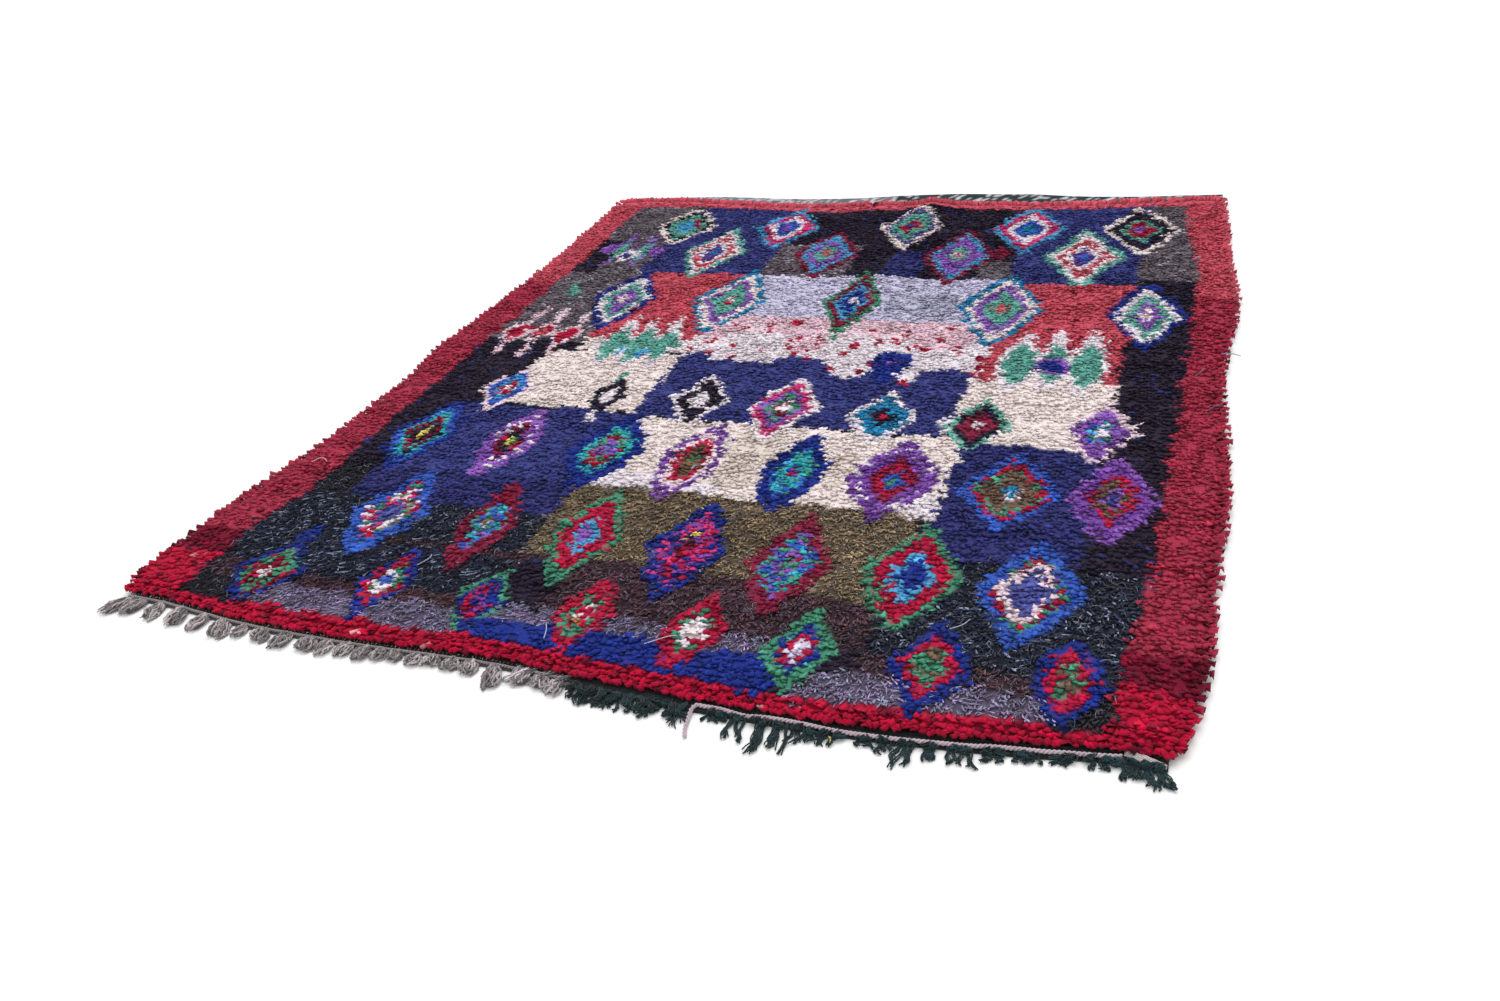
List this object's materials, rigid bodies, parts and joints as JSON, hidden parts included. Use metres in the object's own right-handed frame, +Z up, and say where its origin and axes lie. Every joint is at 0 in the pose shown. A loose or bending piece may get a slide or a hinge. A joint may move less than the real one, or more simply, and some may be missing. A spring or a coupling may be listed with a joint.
{
  "type": "boucherouite rug",
  "caption": "Flat rag and yarn pile rug with a red border, stepped lozenges on blue, black, cream and brick grounds, flat-woven far end and grey and green fringe.",
  "frame": {"origin": "middle of the pile's flat underside, on the floor", "axes": "+Z up off the floor, +Y along the rug away from its fringed end, +X across it to the right"},
  "size_m": [1.6626, 2.0104, 0.0283],
  "materials": {
    "pile": "matte cotton rag and wool yarn pile in many colours",
    "fringe_grey": "twisted and knotted grey yarn",
    "fringe_green": "dark green yarn strands",
    "edge_cord": "pale twisted yarn cord",
    "corner_tape": "pale flat-woven tape"
  },
  "bodies": {
    "root": {"pile": "pile", "fringe_grey": "fringe_grey", "fringe_green": "fringe_green", "edge_cord": "edge_cord", "corner_tape": "corner_tape"}
  },
  "joints": []
}
